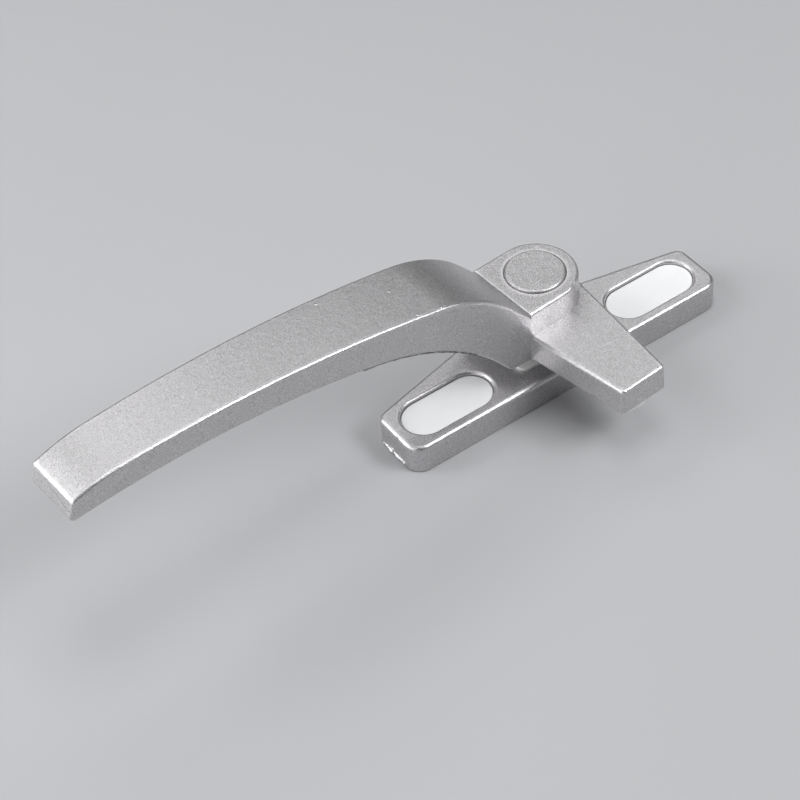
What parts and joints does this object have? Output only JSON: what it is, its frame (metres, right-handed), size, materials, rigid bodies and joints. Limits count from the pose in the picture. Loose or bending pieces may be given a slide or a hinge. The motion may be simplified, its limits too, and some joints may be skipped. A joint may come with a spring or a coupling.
{
  "type": "window locking handle",
  "caption": "Cam-type window handle: a curved lever and a locking tongue in one casting turn on a flat screw-on base with white screw covers.",
  "frame": {"origin": "where the pivot axis meets the mounting face at the back of the base", "axes": "+Z out of the mounting face along the pivot axis, +X along the base, away from the lever when shut, -Y the way the tongue points when shut"},
  "size_m": [0.189, 0.0527, 0.0578],
  "materials": {
    "cast_silver": "silver powder paint on a die casting, satin with a fine sparkle",
    "handle_silver": "silver powder paint on a die casting, satin with a fine sparkle",
    "cap_silver": "silver paint, satin",
    "cover_white": "smooth white plastic",
    "nylon_white": "white nylon",
    "zinc_steel": "zinc plated steel",
    "spring_steel": "hardened spring steel"
  },
  "bodies": {
    "base": {"base_plate": "cast_silver", "left_screw_cover": "cover_white", "right_screw_cover": "cover_white", "wear_washer": "nylon_white", "pivot_pin": "zinc_steel", "back_washer": "zinc_steel", "lower_disc_spring": "spring_steel", "upper_disc_spring": "spring_steel", "lock_nut": "zinc_steel", "stop_pin": "zinc_steel", "detent_spring": "spring_steel"},
    "lever": {"handle": "handle_silver", "pivot_cap": "cap_silver", "pivot_bush": "nylon_white", "thrust_washer": "zinc_steel", "tongue_pad": "nylon_white"},
    "ball": {"detent_ball": "spring_steel"}
  },
  "joints": [
    {"name": "handle_turn", "type": "hinge", "parent": "base", "child": "lever", "pos_m": [0, 0, 0.0094], "axis": [0, 0, 1], "range_deg": [-93.6, 1.4]},
    {"name": "ball_press", "type": "slide", "parent": "base", "child": "ball", "axis": [0, 0, 1], "range_m": [-0.0006, 0], "stiffness_N_per_m": 600, "springref_m": 0.0008, "deforming": ["detent_spring"]}
  ]
}
